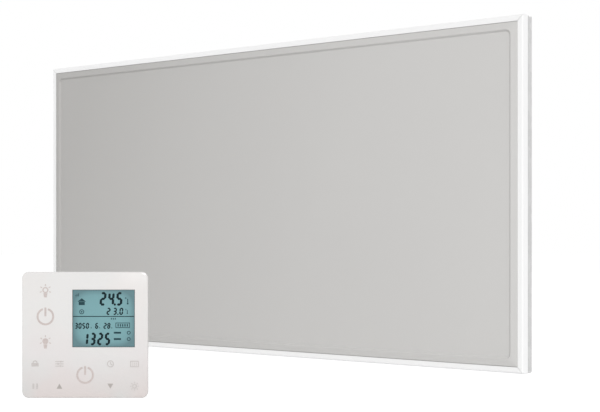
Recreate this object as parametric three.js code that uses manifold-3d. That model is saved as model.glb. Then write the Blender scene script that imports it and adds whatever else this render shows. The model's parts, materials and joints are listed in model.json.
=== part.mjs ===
// Infrared panel heater with its room controller.
// A shallow pressed steel front plate sits in a mitred aluminium frame, with the heating film and its
// insulation behind it and a lid-shaped steel tray as the back. Four hat-shaped hangers and a terminal box
// are on the tray. The controller is a square touch plate on a two-part housing, and stands in front.
// Millimetres, +Z up. The front faces -Y. The origin is the middle of the frame's lower side face.

import * as THREE from 'three';
import { mergeVertices } from 'three/addons/utils/BufferGeometryUtils.js';
import Module from 'manifold-3d';

const wasm = await Module();
wasm.setup();

// ---- Driving dimensions -------------------------------------------------------------------------------

// Whole panel
const PANEL_WIDTH = 595;
const PANEL_HEIGHT = 295;
const PANEL_DEPTH = 14; // front of the lip to the tray's back face

// Fits
const SEAT_GAP = 0.3; // between pieces that seat in one another
const MITRE_RELIEF = 0.2; // each bar's end, short of the true mitre

// Frame profile, an aluminium extrusion
const SIDE_DEPTH = 8;
const LIP_WIDTH = 5;
const LIP_THICKNESS = 1.2;
const PROFILE_WALL = 1.2;
const RAIL_WIDTH = 9; // outer face to the inner face of the hollow rail
const FRAME_EDGE_RADIUS = 1.2;

// Corner keys, pressed into the hollow rails
const KEY_LEG = 38;
const KEY_TOOTH = 0.8;
const KEY_TOOTH_PITCH = 5;

// Front plate, a pressed steel sheet. Its flange lies under the lip, its margin stands up through the frame
// and slopes to a crest, and its field lies a step deeper than the crest.
const PLATE_THICKNESS = 1;
const PLATE_MARGIN = 6; // lip's inner edge to the crest
const MARGIN_EDGE = 0.4; // broken edge where the margin turns down beside the lip
const CREST_HEIGHT = 1.2; // ahead of the lip's face
const STEP_WIDTH = 2.2;
const STEP_DEPTH = 1.8;
const STEP_CORNER_RADIUS = 2.5;
const PLATE_CORNER_RADIUS = 1;

// Heating film and its two busbars
const FILM_THICKNESS = 0.6;
const FILM_INSET = 2; // inside the step
const BUSBAR_WIDTH = 8;
const BUSBAR_THICKNESS = 0.3;
const BUSBAR_INSET = 4; // from the film's side edge

// Leads from the busbars to the terminal block
const LEAD_RADIUS = 1.3;
const LEAD_BEND_RADIUS = 3.5;
const LEAD_GROOVE = 5;
const LEAD_DEPTH = 3.4; // film's back to the lead's centre
const LEAD_CLEARANCE = 0.5;
const LEAD_GRIP = 4; // length of lead inside the terminal block

// Thermal cutout, in series with the left lead
const CUTOUT_LENGTH = 20;
const CUTOUT_WIDTH = 8;
const CUTOUT_THICKNESS = 5;
const CUTOUT_EDGE_RADIUS = 1.2;
const CUTOUT_DISTANCE = 90; // from the panel's middle

// Back tray, a folded steel lid with pressed stiffening beads
const TRAY_SHEET = 0.8;
const TRAY_CORNER_RADIUS = 1.2;
const BEAD_LENGTH = 300;
const BEAD_WIDTH = 12;
const BEAD_HEIGHT = 1;
const BEAD_SLOPE = 1.5;
const BEAD_PITCH = 42;
const BEAD_COUNT = 3;
const BEAD_MIDDLE = 165; // height of the middle bead
const LEAD_HOLE_MARGIN = 1.5; // beside the outermost leads
const LEAD_HOLE_HEIGHT = 9;

// Hangers
const HANGER_INSET_X = 97.5; // panel's side to the hanger's middle
const HANGER_INSET_Z = 52.5; // panel's top or bottom to the hanger's middle
const HANGER_HEIGHT = 46;
const HANGER_WEB = 32;
const HANGER_FOOT = 14;
const HANGER_DEPTH = 18;
const HANGER_SHEET = 1.5;
const KEYHOLE_RADIUS = 5;
const KEYHOLE_SLOT = 5.2;
const KEYHOLE_TRAVEL = 12; // round hole's centre to the slot's end centre
const RIVET_RADIUS = 2.4;
const RIVET_HEIGHT = 1.1;
const RIVET_PITCH = 28;

// Terminal box
const BOX_WIDTH = 84;
const BOX_HEIGHT = 54;
const BOX_DEPTH = 16; // with its lid
const BOX_WALL = 2;
const BOX_LID = 2;
const BOX_CORNER_RADIUS = 4;
const BOX_BOTTOM = 38;
const LID_LIP = 2.5;
const LID_CROWN = 0.8;
const POST_RADIUS = 3.6;
const POST_BORE = 1.5;
const POST_INSET = 7; // box's outer side to the post's centre
const SCREW_SHANK = 1.2;
const SCREW_LENGTH = 8;
const SCREW_HEAD_RADIUS = 2.7;
const SCREW_HEAD_HEIGHT = 1.4;
const LID_HOLE = 1.7;

// Terminal block
const BLOCK_WIDTH = 32;
const BLOCK_HEIGHT = 13;
const BLOCK_THICKNESS = 9;
const BLOCK_POLES = 3;
const BLOCK_PITCH = 10;
const BLOCK_WELL = 2;
const BLOCK_CHANNEL = 1.9;
const BLOCK_LIFT = 12; // box's bottom to the block's bottom
const LEAD_RISE = 10; // block's top to the leads' hole

// Earth stud, on the tray inside the box
const STUD_RADIUS = 2;
const STUD_LENGTH = 9;
const STUD_NUT_RADIUS = 3.6;
const STUD_NUT_HEIGHT = 3;
const STUD_PLACE_X = 26;

// Cable gland, under the box
const GLAND_BORE = 3.2;
const GLAND_STUB = 4.6;
const GLAND_STUB_END = 1; // beyond the locknut
const GLAND_COLLAR = 14; // across the flats
const GLAND_COLLAR_HEIGHT = 4;
const GLAND_NUT_HEIGHT = 12;
const GLAND_NUT_RADIUS = 6.6;
const GLAND_MOUTH_RADIUS = 4.2;
const GLAND_LOCKNUT = 11.2; // across the flats
const GLAND_LOCKNUT_HEIGHT = 2.5;

// Controller
const CONTROLLER_SIZE = 88;
const CONTROLLER_DEPTH = 28;
const CONTROLLER_CORNER_RADIUS = 4.6;
const CONTROLLER_X = 157.2; // its middle, from the panel's middle
const CONTROLLER_AHEAD = 347.4; // its face, from the panel's face
const CONTROLLER_TURN = 40.6; // degrees
const TOUCH_PLATE = 3;
const TOUCH_EDGE_RADIUS = 1;
const TOUCH_OVERHANG = 1.4; // beyond the shell, at the sides and the top
const SHELL_DEPTH = 10;
const SHELL_WALL = 2;
const SHELL_FACE = 1.5;
const DISPLAY_WIDTH = 43.6;
const DISPLAY_HEIGHT = 40.2;
const DISPLAY_RIGHT = 9.2; // plate's right side to the display
const DISPLAY_TOP = 12.4; // plate's top to the display
const WINDOW_RECESS = 0.4;
const WINDOW_THICKNESS = 2.2;
const MODULE_MARGIN = 3;
const MODULE_THICKNESS = 3;
const BOARD_THICKNESS = 1.6;
const MAIN_BOARD = 78;
const BOARD_POST_RADIUS = 2.5;
const BOARD_POST_INSET = 7;
const HOUSING_DRAFT = 2; // each drawn-in side over the housing's depth
const HOUSING_WALL = 2;
const SPIGOT_DEPTH = 2;
const SPIGOT_WALL = 1.6;
const SPIGOT_LEDGE = 1.5;
const POWER_BOARD_WIDTH = 66;
const POWER_BOARD_HEIGHT = 48;
const POWER_BOARD_LIFT = 30;
const POWER_BOARD_STANDOFF = 3.2;
const PIN_COUNT = 6;
const PIN_PITCH = 4;
const PIN_WIDTH = 1;
const PIN_REACH = 8;
const HEADER_HEIGHT = 5;
const HEADER_THICKNESS = 2;
const SOCKET_THICKNESS = 6.5;
const HEADER_PLACE_X = -12;
const HEADER_PLACE_Z = 72;
const RELAY_SIZE = [19, 9, 15];
const RELAY_PLACE = [16, 56];
const CAPACITOR_SIZE = [18, 9, 8];
const CAPACITOR_PLACE = [-16, 56];
const STRIP_SIZE = [40, 9, 10];
const STRIP_PLACE_Z = 37;
const STRIP_POLES = 5;
const WIRE_ENTRY_WIDTH = 26;
const WIRE_ENTRY_HEIGHT = 15;
const WIRE_ENTRY_LIFT = 8;
const FIXING_SPACING = 60;
const FIXING_RADIUS = 2.3;

// Facets
const ARC_STEPS = 6; // per quarter of a large round
const SMALL_ARC_STEPS = 3;
const ROUND_SEGMENTS = 24;
const LEAD_SIDES = 8;
const STEP_RINGS = 6;

// ---- Derived places -----------------------------------------------------------------------------------

const flangeFront = LIP_THICKNESS;
const flangeBack = flangeFront + PLATE_THICKNESS;
const grooveEnd = flangeBack + SEAT_GAP;
const fieldFront = STEP_DEPTH - CREST_HEIGHT;
const fieldBack = fieldFront + PLATE_THICKNESS;
const filmBack = fieldBack + FILM_THICKNESS;
const busbarBack = filmBack + BUSBAR_THICKNESS;
const trayInner = PANEL_DEPTH - TRAY_SHEET;
const rebate = TRAY_SHEET + SEAT_GAP;
const marginInset = LIP_WIDTH + SEAT_GAP;
const stepInset = LIP_WIDTH + PLATE_MARGIN;
const fieldInset = stepInset + STEP_WIDTH;
const filmInset = fieldInset + FILM_INSET;
const panelMiddle = PANEL_HEIGHT / 2;
const busbarX = PANEL_WIDTH / 2 - filmInset - BUSBAR_INSET - BUSBAR_WIDTH / 2;
const leadY = filmBack + LEAD_DEPTH;
const blockBottom = BOX_BOTTOM + BLOCK_LIFT;
const blockTop = blockBottom + BLOCK_HEIGHT;
const leadZ = blockTop + LEAD_RISE;
const boxFloor = PANEL_DEPTH + BOX_WALL;
const boxBack = PANEL_DEPTH + BOX_DEPTH;
const boxRim = boxBack - BOX_LID;
const boxMiddle = BOX_BOTTOM + BOX_HEIGHT / 2;
const blockY = boxFloor + BLOCK_THICKNESS / 2;
const outerPole = (BLOCK_POLES - 1) / 2 * BLOCK_PITCH;
const leadHoleWidth = 2 * (outerPole + LEAD_RADIUS + LEAD_HOLE_MARGIN);
const glandY = PANEL_DEPTH + BOX_DEPTH / 2;

const shellFront = TOUCH_PLATE + SEAT_GAP;
const shellBack = shellFront + SHELL_DEPTH;
const shellInner = shellFront + SHELL_FACE;
const moduleFront = shellInner + SEAT_GAP;
const mainBoardFront = moduleFront + MODULE_THICKNESS + SEAT_GAP;
const mainBoardBack = mainBoardFront + BOARD_THICKNESS;
const housingFront = shellBack + SEAT_GAP;
const housingInner = CONTROLLER_DEPTH - HOUSING_WALL;
const powerBoardBack = housingInner - POWER_BOARD_STANDOFF;
const powerBoardFront = powerBoardBack - BOARD_THICKNESS;
const componentBack = powerBoardFront - SEAT_GAP;
const displayX = CONTROLLER_SIZE / 2 - DISPLAY_RIGHT - DISPLAY_WIDTH / 2;
const displayZ = CONTROLLER_SIZE - DISPLAY_TOP - DISPLAY_HEIGHT / 2;
const controllerMiddle = CONTROLLER_SIZE / 2;

// ---- Geometry helpers ---------------------------------------------------------------------------------

// A closed mesh with shared vertices, as a solid for cutting and joining.
function toSolid(geometry) {
  const bare = geometry.clone();
  bare.deleteAttribute('normal');
  bare.deleteAttribute('uv');
  const merged = mergeVertices(bare, 1e-4);
  const index = merged.index.array;
  const kept = [];
  for (let i = 0; i < index.length; i += 3) {
    const [a, b, c] = [index[i], index[i + 1], index[i + 2]];
    if (a !== b && b !== c && c !== a) kept.push(a, b, c);
  }
  return new wasm.Manifold(new wasm.Mesh({
    numProp: 3,
    vertProperties: new Float32Array(merged.attributes.position.array),
    triVerts: new Uint32Array(kept),
  }));
}

function toGeometry(solid) {
  const mesh = solid.getMesh();
  const geometry = new THREE.BufferGeometry();
  geometry.setAttribute('position', new THREE.BufferAttribute(mesh.vertProperties, 3));
  geometry.setIndex(new THREE.BufferAttribute(mesh.triVerts, 1));
  geometry.computeVertexNormals();
  return geometry;
}

function cut(base, tools) {
  let solid = toSolid(base);
  for (const tool of tools) solid = solid.subtract(toSolid(tool));
  return toGeometry(solid);
}

function join(parts) {
  let solid = toSolid(parts[0]);
  for (const part of parts.slice(1)) solid = solid.add(toSolid(part));
  return toGeometry(solid);
}

// A box between two corners, given as [x, y, z].
function block(low, high) {
  const [sx, sy, sz] = high.map((value, i) => value - low[i]);
  const [cx, cy, cz] = high.map((value, i) => (value + low[i]) / 2);
  return new THREE.BoxGeometry(sx, sy, sz).translate(cx, cy, cz);
}

// A box centred in X and Z, from yFront to yBack.
function slab(width, height, x, z, yFront, yBack) {
  return block([x - width / 2, yFront, z - height / 2], [x + width / 2, yBack, z + height / 2]);
}

// A cylinder along Y.
function rod(radius, x, z, yFront, yBack, segments = ROUND_SEGMENTS) {
  const length = yBack - yFront;
  return new THREE.CylinderGeometry(radius, radius, length, segments).translate(x, yFront + length / 2, z);
}

// A flat shape, drawn in X and Z, given thickness along Y.
function sheet(shape, yFront, yBack, curveSegments = ARC_STEPS) {
  const depth = yBack - yFront;
  const geometry = new THREE.ExtrudeGeometry(shape, { depth, bevelEnabled: false, curveSegments });
  return geometry.rotateX(Math.PI / 2).translate(0, yBack, 0);
}

// A profile of [radius, height] pairs, turned about Z.
function turned(profile, x, y, z, segments = ROUND_SEGMENTS) {
  const points = profile.map(([radius, height]) => new THREE.Vector2(radius, height));
  const geometry = toGeometry(toSolid(new THREE.LatheGeometry(points, segments)));
  return geometry.rotateX(Math.PI / 2).translate(x, y, z);
}

// A profile of [radius, depth] pairs, turned about Y.
function turnedY(profile, x, y, z, segments = ROUND_SEGMENTS) {
  const points = profile.map(([radius, height]) => new THREE.Vector2(radius, height));
  return toGeometry(toSolid(new THREE.LatheGeometry(points, segments))).translate(x, y, z);
}

function roundedRect(width, height, radius, x = 0, z = 0) {
  const [hw, hh] = [width / 2 - radius, height / 2 - radius];
  const shape = new THREE.Shape();
  shape.absarc(x + hw, z + hh, radius, 0, Math.PI / 2, false);
  shape.absarc(x - hw, z + hh, radius, Math.PI / 2, Math.PI, false);
  shape.absarc(x - hw, z - hh, radius, Math.PI, Math.PI * 1.5, false);
  shape.absarc(x + hw, z - hh, radius, Math.PI * 1.5, Math.PI * 2, false);
  return shape;
}

// The points of a rounded rectangle at one depth, for a loft.
function ring(width, height, radius, y, z, steps = SMALL_ARC_STEPS) {
  const points = [];
  for (let corner = 0; corner < 4; corner += 1) {
    const sx = corner === 0 || corner === 3 ? 1 : -1;
    const sz = corner < 2 ? 1 : -1;
    for (let i = 0; i <= steps; i += 1) {
      const angle = (corner + i / steps) * Math.PI / 2;
      const px = sx * (width / 2 - radius) + radius * Math.cos(angle);
      const pz = sz * (height / 2 - radius) + radius * Math.sin(angle);
      points.push(new THREE.Vector3(px, y, z + pz));
    }
  }
  return points;
}

// One closed body through rings of equal count, capped at both ends.
function loft(rings) {
  const count = rings[0].length;
  const positions = rings.flat().flatMap((point) => [point.x, point.y, point.z]);
  const index = [];
  for (let i = 0; i + 1 < rings.length; i += 1) {
    for (let j = 0; j < count; j += 1) {
      const next = (j + 1) % count;
      const [a, b] = [i * count + j, i * count + next];
      const [c, d] = [a + count, b + count];
      index.push(a, c, d, a, d, b);
    }
  }
  const last = (rings.length - 1) * count;
  for (let j = 1; j + 1 < count; j += 1) {
    index.push(0, j, j + 1);
    index.push(last, last + j + 1, last + j);
  }
  const geometry = new THREE.BufferGeometry();
  geometry.setAttribute('position', new THREE.Float32BufferAttribute(positions, 3));
  geometry.setIndex(index);
  geometry.computeVertexNormals();
  return geometry;
}

// Points along a polyline whose corners are rounded.
function roundedRoute(corners, radius, steps = 4) {
  const points = [corners[0]];
  for (let i = 1; i + 1 < corners.length; i += 1) {
    const back = corners[i - 1].clone().sub(corners[i]).setLength(radius);
    const ahead = corners[i + 1].clone().sub(corners[i]).setLength(radius);
    const bend = new THREE.QuadraticBezierCurve3(
      corners[i].clone().add(back), corners[i], corners[i].clone().add(ahead));
    points.push(...bend.getPoints(steps));
  }
  points.push(corners[corners.length - 1]);
  return points;
}

// A round wire along points.
function wire(points, radius) {
  const tangents = points.map((point, i) => {
    const from = points[Math.max(i - 1, 0)];
    const to = points[Math.min(i + 1, points.length - 1)];
    return to.clone().sub(from).normalize();
  });
  let side = new THREE.Vector3(0, 0, 1);
  if (Math.abs(side.dot(tangents[0])) > 0.9) side = new THREE.Vector3(1, 0, 0);
  const rings = points.map((point, i) => {
    const tangent = tangents[i];
    side = side.clone().addScaledVector(tangent, -side.dot(tangent)).normalize();
    const other = side.clone().cross(tangent);
    const circle = [];
    for (let j = 0; j < LEAD_SIDES; j += 1) {
      const angle = j / LEAD_SIDES * Math.PI * 2;
      circle.push(point.clone()
        .addScaledVector(side, radius * Math.cos(angle))
        .addScaledVector(other, radius * Math.sin(angle)));
    }
    return circle;
  });
  return loft(rings);
}

// A hexagonal prism along Z, with flats facing front and back.
function hexagon(acrossFlats, zLow, zHigh, x, y) {
  const radius = acrossFlats / Math.sqrt(3);
  const height = zHigh - zLow;
  const prism = new THREE.CylinderGeometry(radius, radius, height, 6);
  return prism.rotateY(Math.PI / 6).rotateX(Math.PI / 2).translate(x, y, zLow + height / 2);
}

// ---- Materials ----------------------------------------------------------------------------------------

const finish = (color, roughness, metalness = 0) => new THREE.MeshStandardMaterial({
  color, roughness, metalness, flatShading: true });

const finishes = {
  frameWhite: finish('#f2f2f3', 0.35),
  plateGrey: finish('#c6c5c3', 0.4),
  galvanised: finish('#c3c3c1', 0.45, 0.7),
  film: finish('#2a2a2c', 0.6),
  copper: finish('#b8734a', 0.35, 0.9),
  insulation: finish('#d9d4c4', 0.95),
  boxBlack: finish('#242527', 0.5),
  blockCream: finish('#e6e2d4', 0.5),
  steel: finish('#b9bbbd', 0.35, 0.9),
  leadRed: finish('#a8322a', 0.55),
  controllerWhite: finish('#efebe9', 0.12),
  housingWhite: finish('#ecebe9', 0.4),
  display: finish('#7db0b4', 0.2),
  board: finish('#2f6b45', 0.5),
  component: finish('#2b4a8c', 0.5),
};

const group = new THREE.Group();
const panel = new THREE.Group();
panel.position.y = -SIDE_DEPTH / 2;
group.add(panel);

function add(parent, name, geometry, material) {
  const mesh = new THREE.Mesh(geometry, material);
  mesh.name = name;
  parent.add(mesh);
  return mesh;
}

// ---- Frame --------------------------------------------------------------------------------------------

// The extrusion's section: x is the way in from the outer face, y the depth behind the lip's face.
function frameSection() {
  const section = new THREE.Shape();
  section.moveTo(FRAME_EDGE_RADIUS, 0);
  section.lineTo(LIP_WIDTH, 0);
  section.lineTo(LIP_WIDTH, LIP_THICKNESS);
  section.lineTo(PROFILE_WALL, LIP_THICKNESS);
  section.lineTo(PROFILE_WALL, grooveEnd);
  section.lineTo(RAIL_WIDTH, grooveEnd);
  section.lineTo(RAIL_WIDTH, trayInner);
  section.lineTo(rebate, trayInner);
  section.lineTo(rebate, SIDE_DEPTH);
  section.lineTo(0, SIDE_DEPTH);
  section.absarc(FRAME_EDGE_RADIUS, FRAME_EDGE_RADIUS, FRAME_EDGE_RADIUS, Math.PI, Math.PI * 1.5, false);
  const chamber = new THREE.Path();
  chamber.moveTo(rebate + PROFILE_WALL, grooveEnd + PROFILE_WALL);
  chamber.lineTo(RAIL_WIDTH - PROFILE_WALL, grooveEnd + PROFILE_WALL);
  chamber.lineTo(RAIL_WIDTH - PROFILE_WALL, trayInner - PROFILE_WALL);
  chamber.lineTo(rebate + PROFILE_WALL, trayInner - PROFILE_WALL);
  section.holes.push(chamber);
  return section;
}

// One bar with both ends mitred: x along the bar, y depth, z inward from its outer face.
function frameBar(length) {
  const bar = new THREE.ExtrudeGeometry(frameSection(), {
    depth: 1, bevelEnabled: false, curveSegments: SMALL_ARC_STEPS });
  const position = bar.attributes.position;
  for (let i = 0; i < position.count; i += 1) {
    const inward = position.getX(i);
    const end = position.getZ(i) < 0.5 ? 1 : -1;
    position.setXYZ(i, end * (length / 2 - inward - MITRE_RELIEF), position.getY(i), inward);
  }
  return toGeometry(toSolid(bar));
}

function addFrame() {
  const bars = [
    ['frame_bottom', PANEL_WIDTH, 0, 0, 0],
    ['frame_right', PANEL_HEIGHT, -Math.PI / 2, PANEL_WIDTH / 2, panelMiddle],
    ['frame_top', PANEL_WIDTH, Math.PI, 0, PANEL_HEIGHT],
    ['frame_left', PANEL_HEIGHT, Math.PI / 2, -PANEL_WIDTH / 2, panelMiddle],
  ];
  for (const [name, length, turn, x, z] of bars) {
    const bar = add(panel, name, frameBar(length), finishes.frameWhite);
    bar.rotation.y = turn;
    bar.position.set(x, 0, z);
  }
}

// An L-shaped key whose two toothed legs fill the chambers of two bars. The corner is at the origin.
function cornerKey() {
  const outer = rebate + PROFILE_WALL + SEAT_GAP;
  const inner = RAIL_WIDTH - PROFILE_WALL - SEAT_GAP;
  const neck = inner - KEY_TOOTH;
  const leg = new THREE.Shape();
  leg.moveTo(outer, outer);
  leg.lineTo(outer + KEY_LEG, outer);
  leg.lineTo(outer + KEY_LEG, neck);
  const teeth = Math.floor((KEY_LEG + outer - inner - KEY_TOOTH_PITCH) / KEY_TOOTH_PITCH);
  for (let i = 0; i < teeth; i += 1) {
    const x = outer + KEY_LEG - i * KEY_TOOTH_PITCH;
    leg.lineTo(x - KEY_TOOTH_PITCH / 2, inner);
    leg.lineTo(x - KEY_TOOTH_PITCH, neck);
  }
  leg.lineTo(inner, neck);
  leg.lineTo(neck, inner);
  for (let i = teeth - 1; i >= 0; i -= 1) {
    const z = outer + KEY_LEG - i * KEY_TOOTH_PITCH;
    leg.lineTo(neck, z - KEY_TOOTH_PITCH);
    leg.lineTo(inner, z - KEY_TOOTH_PITCH / 2);
  }
  leg.lineTo(neck, outer + KEY_LEG);
  leg.lineTo(outer, outer + KEY_LEG);
  return sheet(leg, grooveEnd + PROFILE_WALL + SEAT_GAP, trayInner - PROFILE_WALL - SEAT_GAP);
}

function addCornerKeys() {
  const corners = [
    ['corner_key_bottom_left', 0, -PANEL_WIDTH / 2, 0],
    ['corner_key_bottom_right', -Math.PI / 2, PANEL_WIDTH / 2, 0],
    ['corner_key_top_right', Math.PI, PANEL_WIDTH / 2, PANEL_HEIGHT],
    ['corner_key_top_left', Math.PI / 2, -PANEL_WIDTH / 2, PANEL_HEIGHT],
  ];
  for (const [name, turn, x, z] of corners) {
    const key = add(panel, name, cornerKey(), finishes.steel);
    key.rotation.y = turn;
    key.position.set(x, 0, z);
  }
}

// ---- Front plate and what lies behind it --------------------------------------------------------------

// Both faces of the sheet follow one pressed form, so it is lofted from the field's front, out over the step
// and the margin, down beside the lip, round the flange's edge and back over the rear of the same form.
function frontPlate() {
  const edge = PROFILE_WALL + SEAT_GAP;
  const faceRing = (inset, radius, y) => ring(
    PANEL_WIDTH - 2 * inset, PANEL_HEIGHT - 2 * inset, radius, y, panelMiddle);
  const stepRing = (share, offset) => {
    const drop = (1 - Math.cos(Math.PI * share)) / 2;
    const radius = STEP_CORNER_RADIUS + STEP_WIDTH * (1 - share);
    return faceRing(stepInset + STEP_WIDTH * share, radius, STEP_DEPTH * drop - CREST_HEIGHT + offset);
  };
  const front = [];
  const back = [];
  for (let i = 0; i <= STEP_RINGS; i += 1) {
    front.push(stepRing(1 - i / STEP_RINGS, 0));
    back.push(stepRing(i / STEP_RINGS, PLATE_THICKNESS));
  }
  const outerRings = [
    [marginInset + MARGIN_EDGE, 0],
    [marginInset, MARGIN_EDGE],
    [marginInset, flangeFront],
    [edge, flangeFront],
    [edge, flangeBack],
    [marginInset + PLATE_THICKNESS, flangeBack],
    [marginInset + PLATE_THICKNESS, PLATE_THICKNESS],
  ].map(([inset, y]) => faceRing(inset, PLATE_CORNER_RADIUS, y));
  return loft([...front, ...outerRings, ...back]);
}

function addHeatingFilm() {
  const width = PANEL_WIDTH - 2 * filmInset;
  const height = PANEL_HEIGHT - 2 * filmInset;
  add(panel, 'front_plate', frontPlate(), finishes.plateGrey);
  add(panel, 'heating_film', slab(width, height, 0, panelMiddle, fieldBack, filmBack), finishes.film);
  for (const [side, sign] of [['left', -1], ['right', 1]]) {
    const bar = slab(BUSBAR_WIDTH, height, sign * busbarX, panelMiddle, filmBack, busbarBack);
    add(panel, `busbar_${side}`, bar, finishes.copper);
  }
}

// A board that fills the space inside the rails, grooved for the leads and pocketed for the cutout.
function insulationBoard() {
  const inset = RAIL_WIDTH + SEAT_GAP;
  const board = slab(
    PANEL_WIDTH - 2 * inset, PANEL_HEIGHT - 2 * inset, 0, panelMiddle, busbarBack, trayInner);
  const grooveFront = leadY - LEAD_RADIUS - LEAD_CLEARANCE;
  const reach = busbarX + LEAD_GROOVE / 2;
  const groove = slab(2 * reach, LEAD_GROOVE, 0, leadZ, grooveFront, PANEL_DEPTH);
  const ends = [-1, 1].map((sign) => slab(
    LEAD_GROOVE, LEAD_GROOVE, sign * busbarX, leadZ, fieldBack, PANEL_DEPTH));
  const pocketSize = [CUTOUT_LENGTH + 2 * SEAT_GAP, CUTOUT_WIDTH + 2 * SEAT_GAP];
  const pocket = slab(...pocketSize, -CUTOUT_DISTANCE, leadZ, fieldBack, PANEL_DEPTH);
  return cut(board, [groove, ...ends, pocket]);
}

function thermalCutout() {
  const shape = roundedRect(CUTOUT_LENGTH, CUTOUT_WIDTH, CUTOUT_EDGE_RADIUS, -CUTOUT_DISTANCE, leadZ);
  return sheet(shape, filmBack, filmBack + CUTOUT_THICKNESS, SMALL_ARC_STEPS);
}

// From the groove, back through the hole, then down into the terminal block.
function leadTail(sign) {
  const poleX = sign * outerPole;
  return [
    new THREE.Vector3(poleX, leadY, leadZ),
    new THREE.Vector3(poleX, blockY, leadZ),
    new THREE.Vector3(poleX, blockY, blockTop - LEAD_GRIP),
  ];
}

function addLeads() {
  const start = busbarBack + SEAT_GAP;
  const head = (sign) => [
    new THREE.Vector3(sign * busbarX, start, leadZ),
    new THREE.Vector3(sign * busbarX, leadY, leadZ),
  ];
  const cutoutEnd = CUTOUT_LENGTH / 2 + SEAT_GAP;
  const routes = {
    lead_right: [...head(1), ...leadTail(1)],
    lead_left_outer: [...head(-1), new THREE.Vector3(-CUTOUT_DISTANCE - cutoutEnd, leadY, leadZ)],
    lead_left_inner: [new THREE.Vector3(-CUTOUT_DISTANCE + cutoutEnd, leadY, leadZ), ...leadTail(-1)],
  };
  for (const [name, corners] of Object.entries(routes)) {
    const bend = Math.min(LEAD_BEND_RADIUS, (leadY - start) * 0.9);
    add(panel, name, wire(roundedRoute(corners, bend), LEAD_RADIUS), finishes.leadRed);
  }
}

// ---- Back tray ----------------------------------------------------------------------------------------

// A bead's outline is a stadium that narrows as it rises off the sheet.
function bead(z, base, height) {
  const rings = [0, 1].map((share) => {
    const width = BEAD_WIDTH - 2 * BEAD_SLOPE * share;
    const length = BEAD_LENGTH - 2 * BEAD_SLOPE * share;
    return ring(length, width, width / 2 - 0.01, base + height * share, z, ARC_STEPS);
  });
  return loft(rings);
}

function backTray() {
  const rimFront = SIDE_DEPTH + SEAT_GAP;
  const outer = roundedRect(PANEL_WIDTH, PANEL_HEIGHT, TRAY_CORNER_RADIUS, 0, panelMiddle);
  const body = sheet(outer, rimFront, PANEL_DEPTH, SMALL_ARC_STEPS);
  const inside = slab(
    PANEL_WIDTH - 2 * TRAY_SHEET, PANEL_HEIGHT - 2 * TRAY_SHEET, 0, panelMiddle, 0, trayInner);
  const leadHole = slab(leadHoleWidth, LEAD_HOLE_HEIGHT, 0, leadZ, 0, PANEL_DEPTH + 1);
  const beads = [];
  const hollows = [];
  for (let i = 0; i < BEAD_COUNT; i += 1) {
    const z = BEAD_MIDDLE + (i - (BEAD_COUNT - 1) / 2) * BEAD_PITCH;
    beads.push(bead(z, PANEL_DEPTH - TRAY_SHEET / 2, BEAD_HEIGHT + TRAY_SHEET / 2));
    hollows.push(bead(z, trayInner - TRAY_SHEET, BEAD_HEIGHT + TRAY_SHEET));
  }
  return cut(join([body, ...beads]), [inside, leadHole, ...hollows]);
}

// ---- Hangers ------------------------------------------------------------------------------------------

// A hat of folded sheet: two feet on the tray and a raised web with a keyhole.
function hanger(x, z) {
  const foot = HANGER_WEB / 2 + HANGER_FOOT;
  const web = HANGER_WEB / 2;
  const back = PANEL_DEPTH + HANGER_DEPTH;
  const hat = new THREE.Shape();
  hat.moveTo(-foot, PANEL_DEPTH);
  hat.lineTo(-web + HANGER_SHEET, PANEL_DEPTH);
  hat.lineTo(-web + HANGER_SHEET, back - HANGER_SHEET);
  hat.lineTo(web - HANGER_SHEET, back - HANGER_SHEET);
  hat.lineTo(web - HANGER_SHEET, PANEL_DEPTH);
  hat.lineTo(foot, PANEL_DEPTH);
  hat.lineTo(foot, PANEL_DEPTH + HANGER_SHEET);
  hat.lineTo(web, PANEL_DEPTH + HANGER_SHEET);
  hat.lineTo(web, back);
  hat.lineTo(-web, back);
  hat.lineTo(-web, PANEL_DEPTH + HANGER_SHEET);
  hat.lineTo(-foot, PANEL_DEPTH + HANGER_SHEET);
  const body = new THREE.ExtrudeGeometry(hat, { depth: HANGER_HEIGHT, bevelEnabled: false });
  body.translate(x, 0, z - HANGER_HEIGHT / 2);
  const low = z - KEYHOLE_TRAVEL / 2;
  const high = z + KEYHOLE_TRAVEL / 2;
  const [cutFront, cutBack] = [back - HANGER_SHEET - 1, back + 1];
  const round = rod(KEYHOLE_RADIUS, x, low, cutFront, cutBack);
  const slot = slab(KEYHOLE_SLOT, KEYHOLE_TRAVEL, x, z, cutFront, cutBack);
  const slotEnd = rod(KEYHOLE_SLOT / 2, x, high, cutFront, cutBack);
  return cut(body, [round, slot, slotEnd]);
}

// A domed rivet head on a foot.
function rivet(x, z) {
  const base = PANEL_DEPTH + HANGER_SHEET;
  const shoulder = RIVET_HEIGHT * 0.6;
  return turnedY([[0, 0], [RIVET_RADIUS, 0], [RIVET_RADIUS * 0.8, shoulder], [0, RIVET_HEIGHT]],
    x, base, z, 12);
}

function addHangers() {
  const rows = [['lower', -1], ['upper', 1]];
  const sides = [['left', -1], ['right', 1]];
  for (const [row, up] of rows) {
    for (const [side, across] of sides) {
      const x = across * (PANEL_WIDTH / 2 - HANGER_INSET_X);
      const z = panelMiddle + up * (panelMiddle - HANGER_INSET_Z);
      const footX = HANGER_WEB / 2 + HANGER_FOOT / 2;
      const rivets = [];
      for (const dx of [-footX, footX]) {
        for (const dz of [-RIVET_PITCH / 2, RIVET_PITCH / 2]) rivets.push(rivet(x + dx, z + dz));
      }
      add(panel, `hanger_${row}_${side}`, join([hanger(x, z), ...rivets]), finishes.steel);
    }
  }
}

// ---- Terminal box -------------------------------------------------------------------------------------

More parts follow.
